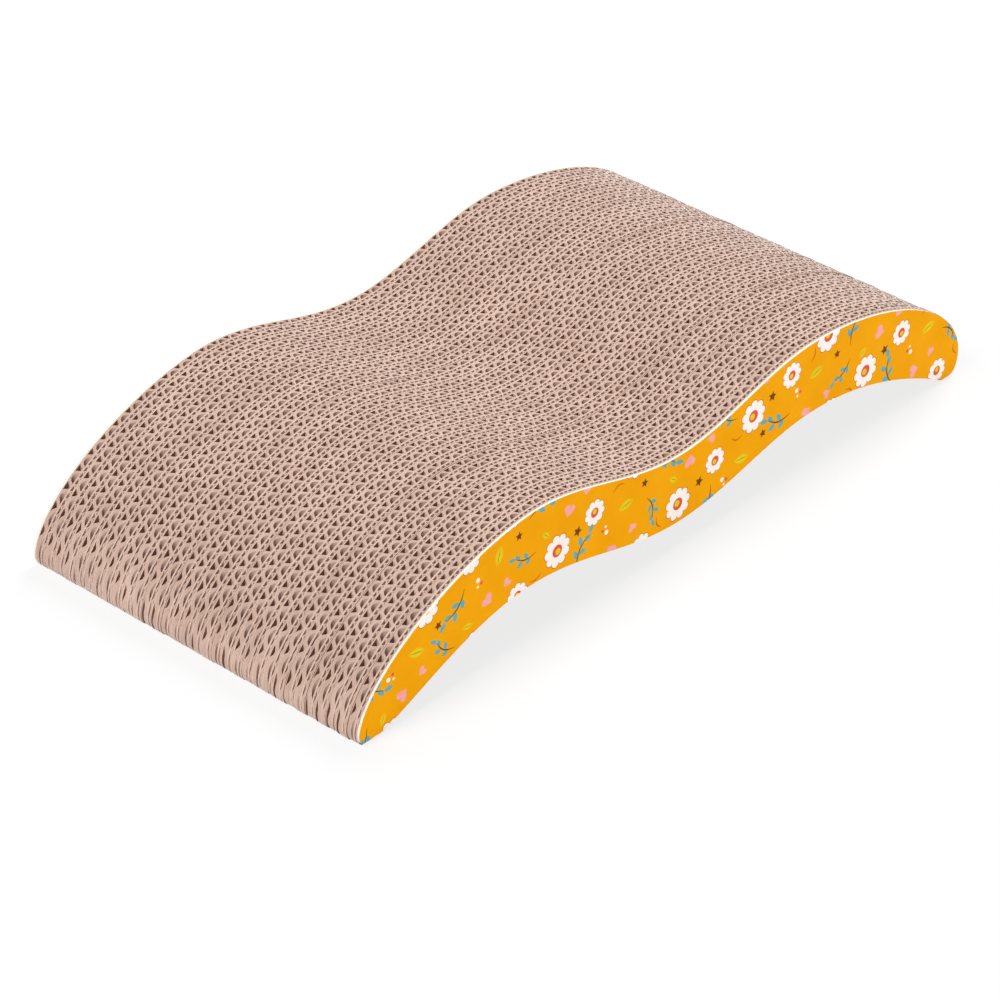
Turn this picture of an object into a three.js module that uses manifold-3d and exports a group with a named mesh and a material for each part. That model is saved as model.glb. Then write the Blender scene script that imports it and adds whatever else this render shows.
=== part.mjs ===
// A wave-shaped cat scratcher: corrugated boards, cut to one outline and glued side by side on edge,
// between two printed card covers. Millimetres, +Z up, +X along the length, origin on the floor
// below the middle.
import * as THREE from "three";
import { mergeVertices } from "three/addons/utils/BufferGeometryUtils.js";
import Module from "manifold-3d";

const overallLength = 430;
const overallWidth = 213;

// Top of the wave: two crests with a dip between them
const crestHeight = 70;
const crestInset = 116; // from each end in to its crest
const dipHeight = 52.2;

// Underside: an arch behind each foot and a low belly in the middle
const archHeight = 31;
const archInset = 114; // from each end in to the top of its arch
const bellyHeight = 15.3;
const footLength = 6; // flat part that stands on the floor

// Left end, a low wedge
const leftNoseHeight = 6; // where the end stands furthest out
const leftUndercut = 3; // from the nose in to the foot
const leftFullness = 1.64; // 2 bends the end over as an ellipse, less is more pointed
const leftArchFullness = 1.25; // 1 leaves the foot steeply, more leaves it gently

// Right end, blunter
const rightNoseHeight = 12.5;
const rightUndercut = 5.5;
const rightFullness = 1.88;
const rightArchFullness = 0.87;

// Corrugated boards
const boardCount = 32;
const flutePitch = 9.8;
const fluteDepth = 3.6;
const glueLine = 0.1;

// Printed covers
const coverThickness = 1.2;
const coverClearance = 1.5; // the covers stop this far above the floor

// Fineness of the outline
const stationCount = 10; // corners of the outline from the middle to each end
const undercutSteps = 2;

const CUTTER_MARGIN = 1;

const halfLength = overallLength / 2;
const halfPitch = flutePitch / 2;
const crestX = halfLength - crestInset;
const archX = halfLength - archInset;
const boardSpacing = (overallWidth - 2 * coverThickness - glueLine) / boardCount;
const boardThickness = boardSpacing - glueLine;

const leftEnd = {
  noseHeight: leftNoseHeight,
  undercut: leftUndercut,
  fullness: leftFullness,
  archFullness: leftArchFullness,
};
const rightEnd = {
  noseHeight: rightNoseHeight,
  undercut: rightUndercut,
  fullness: rightFullness,
  archFullness: rightArchFullness,
};

const wasm = await Module();
wasm.setup();

const point = (x, y) => new THREE.Vector2(x, y);

// Rises from 0 to 1 as half a cosine, level at both ends
const swell = (share) => (1 - Math.cos(Math.PI * share)) / 2;

// Distance from the middle to where the underside meets an end's foot
const footInnerX = (end) => halfLength - end.undercut - footLength;

// Height of the top at a distance from the middle towards an end
function topHeight(x, end) {
  if (x < crestX) {
    return dipHeight + (crestHeight - dipHeight) * swell(x / crestX);
  }
  const share = (x - crestX) / crestInset;
  const fall = (1 - share ** end.fullness) ** (1 / end.fullness);
  return end.noseHeight + (crestHeight - end.noseHeight) * fall;
}

// Height of the underside at a distance from the middle, as far as an end's foot
function undersideHeight(x, end) {
  if (x < archX) {
    return bellyHeight + (archHeight - bellyHeight) * swell(x / archX);
  }
  const share = (footInnerX(end) - x) / (footInnerX(end) - archX);
  return archHeight * Math.sin((share * Math.PI) / 2) ** end.archFullness;
}

// Distances from the middle where the outline turns: they crowd towards the ends, and each stands on
// a ridge or a valley of the flutes
function outlineStations() {
  const places = new Set();
  for (let i = 0; i < stationCount; i += 1) {
    const along = halfLength * Math.sin(((i + 0.5) / stationCount) * (Math.PI / 2));
    places.add(Math.floor(along / halfPitch) * halfPitch);
  }
  return [...places];
}

// Outline of one half, from the dip over the crest, round the end and back to the belly; its lowest
// edge lies a clearance above the floor
function halfOutline(end, clearance) {
  const stations = outlineStations();
  const undercut = new THREE.EllipseCurve(
    halfLength - end.undercut,
    end.noseHeight,
    end.undercut,
    end.noseHeight - clearance,
    0,
    -Math.PI / 2,
    true,
  );
  const foot = footInnerX(end);
  const top = stations.map((x) => point(x, topHeight(x, end)));
  const inner = stations.filter((x) => x < foot && undersideHeight(x, end) > clearance);
  const underside = inner.map((x) => point(x, undersideHeight(x, end)));
  return [...top, ...undercut.getPoints(undercutSteps), point(foot, clearance), ...underside.reverse()];
}

// A flat sheet of the wave outline, standing on edge, from y = 0 forward to y = -thickness
function waveSheet(thickness, clearance) {
  const right = halfOutline(rightEnd, clearance);
  const left = halfOutline(leftEnd, clearance).map((p) => point(-p.x, p.y));
  const outline = new THREE.Shape([...right, ...left.reverse()]);
  const sheet = new THREE.ExtrudeGeometry(outline, { depth: thickness, bevelEnabled: false });
  return sheet.rotateX(Math.PI / 2);
}

// Everything behind a zigzag line: ridges reach the board's back, valleys lie a flute deep
function fluteCutter(phase) {
  const reach = Math.ceil(halfLength / flutePitch) + 1;
  const zigzag = [];
  for (let i = -reach; i <= reach; i += 1) {
    const ridge = i * flutePitch + phase;
    zigzag.push(point(ridge, 0));
    zigzag.push(point(ridge + halfPitch, -fluteDepth));
  }
  const outside = 2 * CUTTER_MARGIN;
  const shape = new THREE.Shape([
    ...zigzag,
    point(zigzag.at(-1).x, outside),
    point(zigzag[0].x, outside),
  ]);
  const height = crestHeight + 2 * CUTTER_MARGIN;
  const cutter = new THREE.ExtrudeGeometry(shape, { depth: height, bevelEnabled: false });
  return cutter.translate(0, 0, -CUTTER_MARGIN);
}

// A closed geometry with shared corners, as a solid that can be cut
function toSolid(geometry) {
  geometry.deleteAttribute("normal");
  geometry.deleteAttribute("uv");
  const merged = mergeVertices(geometry);
  return new wasm.Manifold(
    new wasm.Mesh({
      numProp: 3,
      vertProperties: merged.getAttribute("position").array,
      triVerts: new Uint32Array(merged.index.array),
    }),
  );
}

function toGeometry(solid) {
  const mesh = solid.getMesh();
  const geometry = new THREE.BufferGeometry();
  geometry.setAttribute("position", new THREE.BufferAttribute(mesh.vertProperties, 3));
  geometry.setIndex(new THREE.BufferAttribute(mesh.triVerts, 1));
  return geometry;
}

// One board: a sheet whose back is cut into upright flutes, half a pitch out of step with the next
function boardGeometry(index) {
  const phase = (index % 2) * halfPitch;
  const sheet = waveSheet(boardThickness + CUTTER_MARGIN, 0);
  const blank = toSolid(sheet.translate(0, CUTTER_MARGIN, 0));
  return toGeometry(blank.subtract(toSolid(fluteCutter(phase))));
}

function coverGeometry() {
  return waveSheet(coverThickness, coverClearance);
}

const cardboard = new THREE.MeshStandardMaterial({ color: 0xc8aa9b, roughness: 0.9, metalness: 0 });
const printedCard = new THREE.MeshStandardMaterial({ color: 0xf0a008, roughness: 0.45, metalness: 0 });

function addPiece(parent, name, geometry, material, y) {
  const mesh = new THREE.Mesh(geometry, material);
  mesh.name = name;
  mesh.position.y = y;
  parent.add(mesh);
}

const scratcher = new THREE.Group();
const backFace = overallWidth / 2;
const firstBoard = backFace - coverThickness - glueLine;
const frontCover = firstBoard - boardCount * boardSpacing;

addPiece(scratcher, "side_cover_back", coverGeometry(), printedCard, backFace);
for (let i = 0; i < boardCount; i += 1) {
  const name = `corrugated_board_${String(i + 1).padStart(2, "0")}`;
  addPiece(scratcher, name, boardGeometry(i), cardboard, firstBoard - i * boardSpacing);
}
addPiece(scratcher, "side_cover_front", coverGeometry(), printedCard, frontCover);

export default scratcher;
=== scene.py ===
"""Looks of a wave-shaped cat scratcher: corrugated boards on edge between two printed card covers.

Each double-wall board is made of its paper sheets: three flat liners, a small flute between the front
two and a large flute between the back two, all cut to the wave outline. The covers carry a scattered
print of daisies, sprigs, leaves, hearts, stars, curls and dots on yellow. Metres, +Z up, +X along the
length.
"""
import math
import random
from collections import namedtuple

import bpy
import numpy as np
from mathutils import Color, Matrix, Vector
from mathutils.geometry import delaunay_2d_cdt


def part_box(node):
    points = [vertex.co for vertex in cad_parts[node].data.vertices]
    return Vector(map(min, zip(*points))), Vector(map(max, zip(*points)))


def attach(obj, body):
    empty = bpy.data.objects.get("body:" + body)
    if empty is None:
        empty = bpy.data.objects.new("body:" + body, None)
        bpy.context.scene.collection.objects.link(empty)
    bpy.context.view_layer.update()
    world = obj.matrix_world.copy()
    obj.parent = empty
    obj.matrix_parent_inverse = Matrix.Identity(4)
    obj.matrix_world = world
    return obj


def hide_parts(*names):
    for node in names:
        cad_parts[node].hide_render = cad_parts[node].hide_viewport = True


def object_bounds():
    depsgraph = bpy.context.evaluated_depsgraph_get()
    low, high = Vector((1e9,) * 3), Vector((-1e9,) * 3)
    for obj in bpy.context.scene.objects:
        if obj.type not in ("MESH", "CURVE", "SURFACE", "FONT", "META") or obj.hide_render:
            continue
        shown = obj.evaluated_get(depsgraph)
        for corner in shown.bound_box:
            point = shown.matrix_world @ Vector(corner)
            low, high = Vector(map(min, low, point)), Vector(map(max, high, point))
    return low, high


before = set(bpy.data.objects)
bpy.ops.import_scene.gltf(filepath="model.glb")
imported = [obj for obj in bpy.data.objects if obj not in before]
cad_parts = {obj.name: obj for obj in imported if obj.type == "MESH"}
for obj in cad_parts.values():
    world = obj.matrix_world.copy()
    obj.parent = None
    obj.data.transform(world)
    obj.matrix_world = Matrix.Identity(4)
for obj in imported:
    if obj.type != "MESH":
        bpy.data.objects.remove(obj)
cad_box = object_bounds()

# Wave outline, as in the frame
HALF_LENGTH = cad_box[1].x
HALF_WIDTH = cad_box[1].y
CREST_HEIGHT = 0.070
CREST_INSET = 0.116
DIP_HEIGHT = 0.0522
ARCH_HEIGHT = 0.031
ARCH_INSET = 0.114
BELLY_HEIGHT = 0.0153
FOOT_LENGTH = 0.006
COVER_CLEARANCE = 0.0015
CREST_X = HALF_LENGTH - CREST_INSET
ARCH_X = HALF_LENGTH - ARCH_INSET

End = namedtuple("End", "nose_height undercut fullness arch_fullness")
LEFT_END = End(nose_height=0.006, undercut=0.003, fullness=1.64, arch_fullness=1.25)
RIGHT_END = End(nose_height=0.0125, undercut=0.0055, fullness=1.88, arch_fullness=0.87)

# Fineness of the sheets along the length
LINER_STEP = 0.0025
COVER_STEP = 0.003
BLUNT_END = 0.00006  # a sheet stops this far short of the very tip
STEEP_END = 0.016  # length at each end where the outline turns steep
STEEP_STEPS = 22
SHARP_ANGLE = math.radians(50)  # an edge that turns more than this stays sharp

# Paper of one board, from the front to the back; the large flute fills what is left of the thickness
OUTER_LINER = 0.00036
SMALL_FLUTE_DEPTH = 0.0016
MIDDLE_LINER = 0.0009
CONTACT_GAP = 0.00001  # between a flute and each of its liners
GLUE_LINE = 0.0001  # between boards, half of it on each

# A flute leaves hollows on both sides of its paper, each as wide as a share of the pitch and as deep
# as a share of the flute; a fullness of 1 makes a hollow a triangle, more rounds it
Flute = namedtuple("Flute", "pitch front_width front_depth back_width back_depth fullness steps")
SMALL_FLUTE = Flute(
    pitch=0.0030,
    front_width=0.3,
    front_depth=0.3,
    back_width=0.78,
    back_depth=0.95,
    fullness=4.5,
    steps=14,
)
LARGE_FLUTE = Flute(
    pitch=0.0081,
    front_width=0.6,
    front_depth=0.86,
    back_width=0.38,
    back_depth=0.95,
    fullness=2.6,
    steps=20,
)

# How far hand-glued boards stray from perfect
BOARD_SHIFT = 0.0003
BOARD_RISE = 0.0002
FLUTE_WANDER = 0.06  # of a turn, along the board
WANDER_LENGTHS = (0.03, 0.05)
FLUTE_CRUSH = 0.2  # of the depth of the hollows, at most
CRUSH_LENGTHS = (0.006, 0.015)
WAVE_STARTS = (0, 6)  # radians
END_CRUSH = 0.5  # of the depth that is left, at the very ends, where the boards are thin
END_ZONE = 0.02  # length over which that sets in

# Sideways drift of the boards: waves with a height and the lengths, along and across the boards, in
# which they turn by a radian
Drift = namedtuple("Drift", "height along across start")
DRIFTS = (
    Drift(height=0.0003, along=0.041, across=0.05, start=0),
    Drift(height=0.00018, along=0.017, across=-0.03, start=1.3),
)
DRIFT_HOLD = 4  # the higher, the nearer to the covers the drift dies away

# Papers of a board, in the order of their numbers
BOARD_PAPERS = ("liner_paper_painted_shade", "middle_paper", "flute_paper", "cut_paper")
LINER, MIDDLE, FLUTE, CUT = range(len(BOARD_PAPERS))

# How dark a sheet is, from 0 to 1: a board's tone, to which each of its sheets adds its own
TONE = "tone"
BOARD_TONES = (0.11, 0.19)
SHEET_TONES = {LINER: (0.07, 0.18), MIDDLE: (0.07, 0.18), FLUTE: (0.46, 0.59)}
COVER_TONE = 0.3

# Mottles: noise with so many features to the metre, whose values from low to high show as a share from
# 0 to most
Mottle = namedtuple("Mottle", "scale detail low high most")
FIBRES = Mottle(scale=900, detail=4, low=0.3, high=0.7, most=0.55)
CARD_FIBRES = FIBRES._replace(scale=1800)
CUT_FIBRES = FIBRES._replace(scale=2200)
PATCHES = Mottle(scale=60, detail=2, low=0.35, high=0.7, most=0.3)
INK_MOTTLE = Mottle(scale=45, detail=3, low=0.35, high=0.7, most=0.6)
INK_GRAIN = Mottle(scale=2600, detail=2, low=0.45, high=0.75, most=0.5)

# How noise is drawn out along the axes
EVEN = (1, 1, 1)
UPRIGHT = (1, 1, 0.2)

# Papers, with colours from 0 to 255 as a screen shows them; fuzz is the loose fibres of a cut edge,
# which catch the light at low angles
Paper = namedtuple("Paper", "light dark fibres stretch fuzz")
PAPERS = {
    # the liners' faces show only deep in the hollows between the flutes; their colour is kraft brown
    # darkened with painted shade of those hollows
    "liner_paper_painted_shade": Paper((152, 112, 92), (128, 92, 74), FIBRES, UPRIGHT, 0),
    "middle_paper": Paper((214, 188, 175), (194, 168, 155), FIBRES, UPRIGHT, 0),
    "flute_paper": Paper((228, 200, 185), (208, 178, 163), FIBRES, UPRIGHT, 0),
    "cut_paper": Paper((238, 206, 189), (180, 146, 128), CUT_FIBRES, EVEN, 0.45),
    "card_edge": Paper((252, 246, 236), (244, 232, 215), CARD_FIBRES, EVEN, 0),
    "card_back": Paper((214, 196, 178), (196, 176, 156), FIBRES, EVEN, 0),
}
PAPER_ROUGHNESS = 0.92
PAPER_GLOSS = 0.4

# Inks, each with its colour and a worn shade of it
INKS = {
    "yellow": ((242, 166, 2), (232, 154, 0)),
    "white": ((250, 244, 238), (240, 230, 222)),
    "coral": ((226, 88, 72), (214, 76, 62)),
    "pink": ((248, 170, 168), (240, 156, 158)),
    "teal": ((104, 172, 178), (90, 158, 166)),
    "brown": ((122, 66, 22), (106, 56, 18)),
    "lime": ((224, 206, 36), (210, 190, 28)),
    "rust": ((206, 116, 8), (196, 106, 6)),
}
INK_NAMES = list(INKS)
INK_GLOSS = 0.02
INK_MOTTLE_SPAN = (0.3, 0.7)  # from the lowest to the highest roughness
INK_ROUGHNESS = (0.4, 0.55)

Bump = namedtuple("Bump", "height strength")
PAPER_BUMP = Bump(height=0.0002, strength=0.5)
INK_BUMP = Bump(height=0.00005, strength=0.35)

# Print, in millimetres: motifs on a slanted grid
MILLIMETRES = 1000  # in a metre
CELL = 21.0
CELL_TURN = math.radians(-23)
SPARE_CELLS = 2  # beyond the ends
JITTER = 1.6
MERGE_DISTANCE = 0.001
PRINT_SEED = 11

# Floor and light; to the camera the floor is partly plain white, and all white far out
FLOOR_REACH = 4.0
FLOOR_GREY = 0.9
FLOOR_ROUGHNESS = 0.9
NEAR_WHITE = 0.8  # share of white near the part
WHITE_SPAN = (0.5, 1.4)  # distances between which the share grows to 1
WHITE = (1, 1, 1, 1)
WORLD_STRENGTH = 0.17

Lamp = namedtuple("Lamp", "place size power")  # power in watts
LAMPS = {
    "left": Lamp(place=(-1.8, 0.1, 2.0), size=(1.3, 1.3), power=51),
    "right": Lamp(place=(1.8, 0.4, 1.9), size=(1.3, 1.3), power=53),
    "fill": Lamp(place=(0.3, -2.6, 0.2), size=(1.0, 0.3), power=27),
}

# Camera that took the photograph
CAMERA_PLACE = Vector((-1.3076, -1.1972, 1.1502))
CAMERA_AZIMUTH = math.radians(-47.246)
CAMERA_ELEVATION = math.radians(33.476)
CAMERA_SENSOR = 36  # millimetres wide; the lens is in millimetres too
CAMERA_LENS = 156.56
CAMERA_SHIFT = (0.0067, 0.0034)
CAMERA_RANGE = 50  # the furthest that it sees

BOARD_SEED = 7
rng = random.Random(BOARD_SEED)


# Outline


def swell(share):
    """Rises from 0 to 1 as half a cosine, level at both ends."""
    return (1 - np.cos(np.pi * share)) / 2


def end_shape(x):
    """Shape of the end that each place along the length is nearer to."""
    return End(*(np.where(x < 0, left, right) for left, right in zip(LEFT_END, RIGHT_END)))


def top_height(x):
    """The upper edge: a dip between two crests, and a fall from each crest to its nose."""
    away = np.abs(x)
    end = end_shape(x)
    dip = DIP_HEIGHT + (CREST_HEIGHT - DIP_HEIGHT) * swell(np.minimum(away / CREST_X, 1))
    share = np.clip((away - CREST_X) / CREST_INSET, 0, 1)
    fall = (1 - share**end.fullness) ** (1 / end.fullness)
    return np.where(away < CREST_X, dip, end.nose_height + (CREST_HEIGHT - end.nose_height) * fall)


def underside_height(x, clearance=0):
    """The lower edge, which turns up to the noses; its lowest stretch is clear of the floor."""
    away = np.abs(x)
    end = end_shape(x)
    belly = BELLY_HEIGHT + (ARCH_HEIGHT - BELLY_HEIGHT) * swell(np.minimum(away / ARCH_X, 1))
    foot_x = HALF_LENGTH - end.undercut - FOOT_LENGTH
    share = np.clip((foot_x - away) / (foot_x - ARCH_X), 0, 1)
    arch = ARCH_HEIGHT * np.sin(share * np.pi / 2) ** end.arch_fullness
    beyond = np.clip((away - HALF_LENGTH + end.undercut) / end.undercut, 0, 1)
    turn_up = (end.nose_height - clearance) * (1 - np.sqrt(1 - beyond**2))
    return np.maximum(np.where(away < ARCH_X, belly, arch), clearance) + turn_up


def stations(step):
    """Places along the length about a step apart, closer together where the ends turn steep."""
    inner = HALF_LENGTH - STEEP_END
    count = round(2 * inner / step)
    middle = np.linspace(-inner, inner, count + 1)
    turn = np.arange(1, STEEP_STEPS + 1) / STEEP_STEPS
    end = inner + (STEEP_END - BLUNT_END) * np.sin(turn * np.pi / 2)
    return np.concatenate([-end[::-1], middle, end])


# Looks


def new_material(name):
    material = bpy.data.materials.new(name)
    material.use_nodes = True
    return material, material.node_tree


def connect(tree, value, socket):
    """Links a node's output to a socket, or sets a plain value on it."""
    if isinstance(value, bpy.types.NodeSocket):
        tree.links.new(value, socket)
    else:
        socket.default_value = value


def add_noise(tree, scale, stretch, detail):
    """Noise in the object's own metres, scale features to the metre, drawn out along some axes."""
    coordinates = tree.nodes.new("ShaderNodeTexCoord")
    mapping = tree.nodes.new("ShaderNodeMapping")
    mapping.inputs["Scale"].default_value = stretch
    noise = tree.nodes.new("ShaderNodeTexNoise")
    noise.inputs["Scale"].default_value = scale
    noise.inputs["Detail"].default_value = detail
    tree.links.new(coordinates.outputs["Object"], mapping.inputs["Vector"])
    tree.links.new(mapping.outputs["Vector"], noise.inputs["Vector"])
    return noise.outputs["Fac"]


def add_range(tree, value, given, wanted):
    """Takes a value from one range to another."""
    change = tree.nodes.new("ShaderNodeMapRange")
    tree.links.new(value, change.inputs["Value"])
    limits = ("From Min", "From Max", "To Min", "To Max")
    for limit, number in zip(limits, (*given, *wanted)):
        change.inputs[limit].default_value = number
    return change.outputs["Result"]


def add_mottle(tree, mottle, stretch=EVEN):
    """A mottle's noise and the share of it that shows."""
    noise = add_noise(tree, mottle.scale, stretch, mottle.detail)
    share = add_range(tree, noise, (mottle.low, mottle.high), (0, mottle.most))
    return noise, share


def add_mix(tree, factor, first, second):
    """Colour mix; first and second are colours or sockets."""
    mix = tree.nodes.new("ShaderNodeMix")
    mix.data_type = "RGBA"
    tree.links.new(factor, mix.inputs["Factor"])
    connect(tree, first, mix.inputs["A"])
    connect(tree, second, mix.inputs["B"])
    return mix.outputs["Result"]


def add_math(tree, operation, first, second):
    node = tree.nodes.new("ShaderNodeMath")
    node.operation = operation
    tree.links.new(first, node.inputs[0])
    tree.links.new(second, node.inputs[1])
    return node.outputs["Value"]


def add_bump(tree, shader, height, bump):
    node = tree.nodes.new("ShaderNodeBump")
    node.inputs["Distance"].default_value = bump.height
    node.inputs["Strength"].default_value = bump.strength
    tree.links.new(height, node.inputs["Height"])
    tree.links.new(node.outputs["Normal"], shader.inputs["Normal"])


def from_screen(colour):
    """A colour as a screen shows it, 0 to 255, in linear light."""
    shares = [channel / 255 for channel in colour]
    return (*Color(shares).from_srgb_to_scene_linear(), 1)


def cardboard_material(name, paper):
    """Kraft paper: a tone for each sheet, darker fibres and paler patches."""
    material, tree = new_material(name)
    shader = tree.nodes["Principled BSDF"]
    shader.inputs["Roughness"].default_value = PAPER_ROUGHNESS
    shader.inputs["Specular IOR Level"].default_value = PAPER_GLOSS
    shader.inputs["Sheen Weight"].default_value = paper.fuzz
    light = from_screen(paper.light)
    dark = from_screen(paper.dark)
    tone = tree.nodes.new("ShaderNodeAttribute")
    tone.attribute_name = TONE
    fibres, fibre_share = add_mottle(tree, paper.fibres, paper.stretch)
    _, patch_share = add_mottle(tree, PATCHES)
    base = add_mix(tree, tone.outputs["Fac"], light, dark)
    fibrous = add_mix(tree, fibre_share, base, dark)
    patched = add_mix(tree, patch_share, fibrous, light)
    tree.links.new(patched, shader.inputs["Base Color"])
    add_bump(tree, shader, fibres, PAPER_BUMP)
    return material


def ink_material(name, colour, worn):
    """Printed ink on card: a slight mottle, a fine grain and a satin finish."""
    material, tree = new_material(name)
    shader = tree.nodes["Principled BSDF"]
    shader.inputs["Specular IOR Level"].default_value = INK_GLOSS
    mottle, mottle_share = add_mottle(tree, INK_MOTTLE)
    grain, grain_share = add_mottle(tree, INK_GRAIN)
    base = add_mix(tree, mottle_share, from_screen(colour), from_screen(worn))
    grained = add_mix(tree, grain_share, base, from_screen(worn))
    roughness = add_range(tree, mottle, INK_MOTTLE_SPAN, INK_ROUGHNESS)
    tree.links.new(grained, shader.inputs["Base Color"])
    tree.links.new(roughness, shader.inputs["Roughness"])
    add_bump(tree, shader, grain, INK_BUMP)
    return material


papers = {name: cardboard_material(name, paper) for name, paper in PAPERS.items()}
inks = [ink_material(f"ink_{name}", colour, worn) for name, (colour, worn) in INKS.items()]


# Pieces


def make_piece(name, points, faces, material_numbers, tones, materials):
    """An object of one mesh, whose faces each have a material and a tone."""
    mesh = bpy.data.meshes.new(name)
    mesh.from_pydata(points, [], faces)
    mesh.polygons.foreach_set("material_index", np.array(material_numbers, np.int32))
    tone = mesh.attributes.new(TONE, "FLOAT", "FACE")
    tone.data.foreach_set("value", np.array(tones, np.float32))
    mesh.polygons.foreach_set("use_smooth", np.ones(len(mesh.polygons), bool))
    mesh.set_sharp_from_angle(angle=SHARP_ANGLE)
    mesh.update()
    for material in materials:
        mesh.materials.append(material)
    piece = bpy.data.objects.new(name, mesh)
    bpy.context.scene.collection.objects.link(piece)
    return piece


# Boards


class PaperMesh:
    """Gathers closed sheets of paper into one mesh."""

    def __init__(self):
        self.points = []
        self.faces = []
        self.material_numbers = []
        self.tones = []
        self.count = 0

    def add_sheet(self, kind, x, front, back, shift, rise, tone):
        """An upright liner or flute between two lines in plan, cut to the wave outline."""
        low = underside_height(x)
        top = top_height(x) + rise
        lines = [np.column_stack([x + shift, y, z]) for y in (front, back) for z in (low, top)]
        numbers = self.count + np.arange(len(lines) * len(x)).reshape(len(lines), len(x))
        front_low, front_top, back_low, back_top = numbers

        def strip(a, b):
            return np.column_stack([a[:-1], a[1:], b[1:], b[:-1]])

        walls = np.concatenate([strip(front_low, front_top), strip(back_top, back_low)])
        cuts = np.concatenate(
            [
                strip(front_top, back_top),
                strip(back_low, front_low),
                [[back_low[0], front_low[0], front_top[0], back_top[0]]],
                [[front_low[-1], back_low[-1], back_top[-1], front_top[-1]]],
            ]
        )
        self.points += lines
        self.faces += [walls, cuts]
        self.material_numbers += [np.full(len(walls), kind), np.full(len(cuts), CUT)]
        self.tones.append(np.full(len(walls) + len(cuts), tone))
        self.count += numbers.size

    def make_object(self, name):
        parts = (self.points, self.faces, self.material_numbers, self.tones)
        joined = (np.concatenate(part) for part in parts)
        return make_piece(name, *joined, [papers[paper] for paper in BOARD_PAPERS])


def sideways_drift(x, y):
    """How far the boards wander from straight, alike for neighbours and nothing at the covers."""
    hold = 1 - (y / HALF_WIDTH) ** DRIFT_HOLD
    waves = [wave.height * np.sin(x / wave.along + y / wave.across + wave.start) for wave in DRIFTS]
    return hold * sum(waves)


def random_wave(x, lengths):
    """A sine along the board with a length and a start of its own."""
    length = rng.uniform(*lengths)
    start = rng.uniform(*WAVE_STARTS)
    return np.sin(x / length + start)


def hollow(turn, width, fullness):
    """Depth, from 0 to 1, of a row of round hollows, one in each turn of the flute."""
    away = np.abs(turn - np.round(turn))
    return np.clip(1 - (away / (width / 2)) ** fullness, 0, 1)


def flute_faces(x, flute, low, high):
    """Front and back of a fluted paper that fills the room between two liners, but for its hollows.

    The hollows of the back lie half a turn on from those of the front.
    """
    start = rng.uniform(0, 1)
    wander = FLUTE_WANDER * random_wave(x, WANDER_LENGTHS)
    crush = 1 - FLUTE_CRUSH * (1 + random_wave(x, CRUSH_LENGTHS)) / 2
    turn = x / flute.pitch + start + wander
    end_share = np.clip((np.abs(x) - HALF_LENGTH + END_ZONE) / END_ZONE, 0, 1)
    room = crush * (1 - END_CRUSH * end_share) * (high - low)
    front_hollows = flute.front_depth * room * hollow(turn, flute.front_width, flute.fullness)
    back_hollows = flute.back_depth * room * hollow(turn + 0.5, flute.back_width, flute.fullness)
    return low + CONTACT_GAP + front_hollows, high - CONTACT_GAP - back_hollows


def build_board(name, node):
    """One double-wall board of liners and flutes, which fills a node's box from front to back."""
    low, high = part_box(node)
    shift = rng.uniform(-BOARD_SHIFT, BOARD_SHIFT)
    rise = rng.uniform(-BOARD_RISE, BOARD_RISE)
    board_tone = rng.uniform(*BOARD_TONES)
    paper = PaperMesh()

    def add(kind, x, front, back):
        tone = board_tone + rng.uniform(*SHEET_TONES[kind])
        lines = (y + sideways_drift(x, y) for y in (front, back))
        paper.add_sheet(kind, x, *lines, shift, rise, tone)

    front_face = low.y - GLUE_LINE / 2
    back_face = high.y + GLUE_LINE / 2
    small_low = low.y + OUTER_LINER
    small_high = small_low + SMALL_FLUTE_DEPTH
    large_low = small_high + MIDDLE_LINER
    large_high = high.y - OUTER_LINER
    liner_x = stations(LINER_STEP)
    add(LINER, liner_x, front_face, small_low)
    add(MIDDLE, liner_x, small_high, large_low)
    add(LINER, liner_x, large_high, back_face)
    flutes = ((SMALL_FLUTE, small_low, small_high), (LARGE_FLUTE, large_low, large_high))
    for flute, front, back in flutes:
        x = stations(flute.pitch / flute.steps)
        add(FLUTE, x, *flute_faces(x, flute, front, back))
    return paper.make_object(name)


# Print: every motif is a list of (outline points, ink) about its own middle, in millimetres


def full_turn(steps):
    """Angles at equal steps all the way round."""
    return [2 * math.pi * i / steps for i in range(steps)]


def around(reaches):
    """Points all the way round the middle, at the given distances from it."""
    turns = full_turn(len(reaches))
    return [(r * math.cos(t), r * math.sin(t)) for r, t in zip(reaches, turns)]


def moved(points, x=0, y=0, turn=0):
    """Points turned about the middle and then shifted."""
    cosine = math.cos(turn)
    sine = math.sin(turn)
    return [(x + a * cosine - b * sine, y + a * sine + b * cosine) for a, b in points]


def circle(radius, x=0, y=0, steps=20):
    return [(x + a, y + b) for a, b in around([radius] * steps)]


def bow(length, rise, steps=8):
    """Points along a shallow arch."""
    shares = [i / steps for i in range(steps + 1)]
    return [(length * (t - 0.5), rise * math.sin(math.pi * t)) for t in shares]


def leaf_outline(length, width, steps=8):
    """A pointed leaf that starts at the middle."""
    side = [(length * i / steps, width / 2 * math.sin(math.pi * i / steps)) for i in range(steps + 1)]
    return side + [(a, -b) for a, b in side[-2:0:-1]]


def stroke(points, width):
    """A thin line that tapers to both ends."""
    tip = 0.25  # width of the ends, as a share
    last = len(points) - 1
    left = []
    right = []
    for i, (x, y) in enumerate(points):
        ahead = points[min(i + 1, last)]
        behind = points[max(i - 1, 0)]
        run_x = ahead[0] - behind[0]
        run_y = ahead[1] - behind[1]
        half = width / 2 * (tip + (1 - tip) * math.sin(math.pi * i / last))
        reach = half / math.hypot(run_x, run_y)
        left.append((x - run_y * reach, y + run_x * reach))
        right.append((x + run_y * reach, y - run_x * reach))
    return left + right[::-1]


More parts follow.
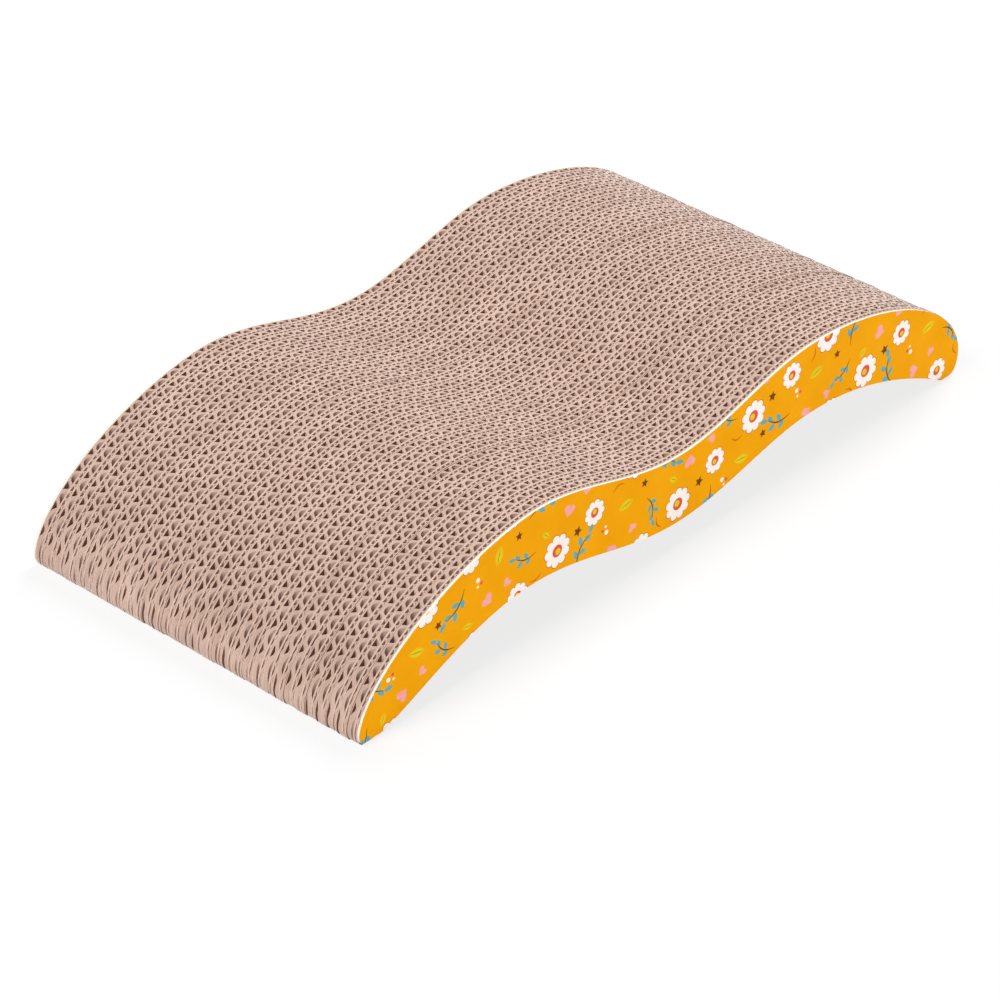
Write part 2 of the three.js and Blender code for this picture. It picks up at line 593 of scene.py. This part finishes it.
def daisy(size):
    petals = 9
    notch = 0.24  # how far in the gaps between the petals reach
    bluntness = 0.6
    shine_shift = size * 0.06

    def rosette(radius, steps=90):
        waves = [abs(math.cos(petals * t / 2)) ** bluntness for t in full_turn(steps)]
        return around([radius * (1 - notch + notch * wave) for wave in waves])

    return [
        (rosette(radius=size * 1.06), "rust"),
        (rosette(radius=size), "white"),
        (circle(radius=size * 0.38), "coral"),
        (circle(radius=size * 0.2, x=-shine_shift, y=shine_shift), "lime"),
    ]


def sprig(size):
    stem = bow(size, rise=size * 0.16)
    leaf_turns = {2: 0.9, 3: -0.8, 5: 0.7, 6: -0.7, 8: 0.0}  # by the point of the stem
    blade = leaf_outline(length=size * 0.36, width=size * 0.17)
    shapes = []
    for i, turn in leaf_turns.items():
        shapes.append((moved(blade, *stem[i], turn), "teal"))
    shapes.append((stroke(stem, width=size * 0.05), "brown"))
    return shapes


def heart(size):
    unit = size / 17  # the curve below reaches down to 17
    outline = []
    for t in full_turn(36):
        across = 16 * math.sin(t) ** 3
        up = 13 * math.cos(t) - 5 * math.cos(2 * t) - 2 * math.cos(3 * t) - math.cos(4 * t)
        outline.append((unit * across, unit * up))
    return [(outline, "pink")]


def star(size):
    tips = 5
    inner = 0.48  # of the size, between the tips
    return [(around([size, size * inner] * tips), "brown")]


def leaf(size):
    blade = moved(leaf_outline(size, width=size * 0.46), x=-size / 2)
    vein = moved(bow(size * 0.85, rise=0, steps=6), x=-size * 0.025)
    return [(blade, "lime"), (stroke(vein, width=size * 0.05), "rust")]


def dots(size):
    return [
        (circle(radius=size * 0.42, x=-size * 0.6, steps=14), "white"),
        (circle(radius=size * 0.3, x=size * 0.4, y=size * 0.4, steps=12), "coral"),
        (circle(radius=size * 0.24, x=size * 0.45, y=-size * 0.5, steps=12), "white"),
    ]


def curl(size):
    return [(stroke(bow(size, rise=size * 0.22), width=size * 0.12), "rust")]


# Motifs and their sizes, in the order in which they take turns; the small ones stand between the large
LARGE_MOTIFS = ((daisy, 8.6), (sprig, 17.0), (heart, 3.9), (daisy, 6.8), (leaf, 10.5), (sprig, 14.0))
SMALL_MOTIFS = ((star, 3.0), (dots, 3.0), (heart, 2.8), (curl, 8.0), (star, 2.5), (leaf, 7.0))
MOTIF_ROW_STEP = 2  # how much further on in its turns each row starts


def print_pattern(draw):
    """Large motifs on a slanted grid and small ones between them, over the whole outline."""
    half_length = HALF_LENGTH * MILLIMETRES
    crest = CREST_HEIGHT * MILLIMETRES
    middle = DIP_HEIGHT * MILLIMETRES / 2
    reach = math.ceil(half_length / CELL) + SPARE_CELLS
    cells = range(-reach, reach + 1)
    shapes = []
    for row in cells:
        for column in cells:
            for motifs, offset in ((LARGE_MOTIFS, 0), (SMALL_MOTIFS, 0.5)):
                make, size = motifs[(column + MOTIF_ROW_STEP * row) % len(motifs)]
                jitter_x = draw.uniform(-JITTER, JITTER)
                jitter_y = draw.uniform(-JITTER, JITTER)
                turn = draw.uniform(0, 2 * math.pi)
                cell = ((column + offset) * CELL, (row + offset) * CELL)
                x, y = moved([cell], jitter_x, middle + jitter_y, CELL_TURN)[0]
                if abs(x) < half_length + size and -size < y < crest + size:
                    shapes += [(moved(outline, x, y, turn), ink) for outline, ink in make(size)]
    return shapes


# Covers


def cover_outline():
    """Outline of the cover's face in millimetres."""
    x = stations(COVER_STEP)
    top = np.column_stack([x, top_height(x)])
    underside = np.column_stack([x, underside_height(x, COVER_CLEARANCE)])[::-1]
    return (np.concatenate([top, underside])[::-1] * MILLIMETRES).tolist()


def turns_left(outline):
    """Whether an outline runs anticlockwise."""
    ahead = outline[1:] + outline[:1]
    return sum(a[0] * b[1] - b[0] * a[1] for a, b in zip(outline, ahead)) > 0


def print_triangles(draw):
    """Corners of the cover's face in millimetres, its triangles and each one's ink number."""
    face = 0  # the number of the first shape, which is the whole cover
    inside = 1  # keeps only triangles within the shapes
    shapes = [(cover_outline(), "yellow"), *print_pattern(draw)]
    points = []
    runs = []
    for outline, _ in shapes:
        run = list(range(len(points), len(points) + len(outline)))
        runs.append(run if turns_left(outline) else run[::-1])
        points += [Vector(p) for p in outline]
    corners, _, triangles, _, _, sources = delaunay_2d_cdt(points, [], runs, inside, MERGE_DISTANCE, True)
    kept = []
    colours = []
    for triangle, source in zip(triangles, sources):
        if face in source:
            kept.append(list(triangle))
            _, ink = shapes[max(source)]
            colours.append(INK_NAMES.index(ink))
    return corners, kept, colours


def rim_edges(triangles):
    """Edges that only one triangle has, in its own direction."""
    edges = dict.fromkeys(edge for a, b, c in triangles for edge in ((a, b), (b, c), (c, a)))
    return [edge for edge in edges if edge[::-1] not in edges]


def build_cover(name, node, outward, draw):
    """A closed sheet of card: printed face, plain back and a pale cut edge all round."""
    low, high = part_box(node)
    face_y, back_y = (low.y, high.y) if outward < 0 else (high.y, low.y)
    corners, triangles, colours = print_triangles(draw)
    used = sorted({i for triangle in triangles for i in triangle})
    place = {old: new for new, old in enumerate(used)}
    outline = [corners[i] / MILLIMETRES for i in used]
    points = [(corner.x, y, corner.y) for y in (face_y, back_y) for corner in outline]
    count = len(used)
    front = [[place[i] for i in triangle] for triangle in triangles]
    back = [[c + count, b + count, a + count] for a, b, c in front]
    sides = [[b, a, a + count, b + count] for a, b in rim_edges(front)]
    faces = front + back + sides
    if outward > 0:
        faces = [face[::-1] for face in faces]
    plain = len(inks)
    edge = plain + 1
    numbers = colours + [plain] * len(back) + [edge] * len(sides)
    materials = [*inks, papers["card_back"], papers["card_edge"]]
    return make_piece(name, points, faces, numbers, [COVER_TONE] * len(faces), materials)


def place_piece(piece, node):
    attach(piece, "root")
    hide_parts(node)


boards = sorted(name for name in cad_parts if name.startswith("corrugated_board_"))
for node in boards:
    piece = build_board(node.replace("corrugated", "fluted"), node)
    place_piece(piece, node)

for side, outward in (("front", -1), ("back", 1)):
    node = f"side_cover_{side}"
    piece = build_cover(f"printed_cover_{side}", node, outward, random.Random(PRINT_SEED))
    place_piece(piece, node)


# Floor, light and camera


def add_seen(tree):
    """1 for what the camera sees, directly or in a gloss or glass, and 0 for all other light."""
    path = tree.nodes.new("ShaderNodeLightPath")
    rays = ("Camera", "Glossy", "Transmission")
    direct, gloss, glass = (path.outputs[f"Is {ray} Ray"] for ray in rays)
    return add_math(tree, "MAXIMUM", add_math(tree, "MAXIMUM", direct, gloss), glass)


def show_white(tree, white, share, shaded, output):
    """Shows plain white for a share of what is shaded."""
    white.inputs["Strength"].default_value = 1
    white.inputs["Color"].default_value = WHITE
    mix = tree.nodes.new("ShaderNodeMixShader")
    tree.links.new(share, mix.inputs["Fac"])
    tree.links.new(shaded, mix.inputs[1])
    tree.links.new(white.outputs[0], mix.inputs[2])
    tree.links.new(mix.outputs["Shader"], output.inputs["Surface"])


def floor_material():
    material, tree = new_material("floor_white")
    shader = tree.nodes["Principled BSDF"]
    shader.inputs["Base Color"].default_value = (FLOOR_GREY, FLOOR_GREY, FLOOR_GREY, 1)
    shader.inputs["Roughness"].default_value = FLOOR_ROUGHNESS
    shader.inputs["Specular IOR Level"].default_value = 0
    coordinates = tree.nodes.new("ShaderNodeTexCoord")
    distance = tree.nodes.new("ShaderNodeVectorMath")
    distance.operation = "LENGTH"
    tree.links.new(coordinates.outputs["Object"], distance.inputs[0])
    by_distance = add_range(tree, distance.outputs["Value"], WHITE_SPAN, (NEAR_WHITE, 1))
    share = add_math(tree, "MULTIPLY", add_seen(tree), by_distance)
    white = tree.nodes.new("ShaderNodeEmission")
    show_white(tree, white, share, shader.outputs["BSDF"], tree.nodes["Material Output"])
    return material


def build_floor():
    corners = [(FLOOR_REACH * x, FLOOR_REACH * y, 0) for x, y in ((-1, -1), (1, -1), (1, 1), (-1, 1))]
    mesh = bpy.data.meshes.new("floor")
    mesh.from_pydata(corners, [], [(0, 1, 2, 3)])
    mesh.materials.append(floor_material())
    floor = bpy.data.objects.new("floor", mesh)
    bpy.context.scene.collection.objects.link(floor)


def build_world():
    world = bpy.data.worlds.new("studio")
    bpy.context.scene.world = world
    world.use_nodes = True
    tree = world.node_tree
    sky = tree.nodes["Background"]
    sky.inputs["Color"].default_value = WHITE
    sky.inputs["Strength"].default_value = WORLD_STRENGTH
    white = tree.nodes.new("ShaderNodeBackground")
    show_white(tree, white, add_seen(tree), sky.outputs["Background"], tree.nodes["World Output"])


def build_lamp(name, lamp):
    """A rectangular lamp that faces the part."""
    data = bpy.data.lights.new(name, "AREA")
    data.shape = "RECTANGLE"
    data.size, data.size_y = lamp.size
    data.energy = lamp.power
    light = bpy.data.objects.new(name, data)
    light.location = lamp.place
    light.rotation_euler = (-Vector(lamp.place)).to_track_quat("-Z", "Y").to_euler()
    bpy.context.scene.collection.objects.link(light)


def build_camera():
    along = math.cos(CAMERA_AZIMUTH)
    across = math.sin(CAMERA_AZIMUTH)
    level = math.cos(CAMERA_ELEVATION)
    right = Vector((along, across, 0))
    back = Vector((across * level, -along * level, math.sin(CAMERA_ELEVATION)))
    up = back.cross(right)
    turn = Matrix((right, up, back)).transposed().to_4x4()
    data = bpy.data.cameras.new("camera")
    data.sensor_width = CAMERA_SENSOR
    data.lens = CAMERA_LENS
    data.shift_x, data.shift_y = CAMERA_SHIFT
    data.clip_end = CAMERA_RANGE
    camera = bpy.data.objects.new("camera", data)
    camera.matrix_world = Matrix.Translation(CAMERA_PLACE) @ turn
    bpy.context.scene.collection.objects.link(camera)
    bpy.context.scene.camera = camera


build_floor()
build_world()
for name, lamp in LAMPS.items():
    build_lamp(name, lamp)
build_camera()
bpy.context.scene.view_settings.view_transform = "Standard"
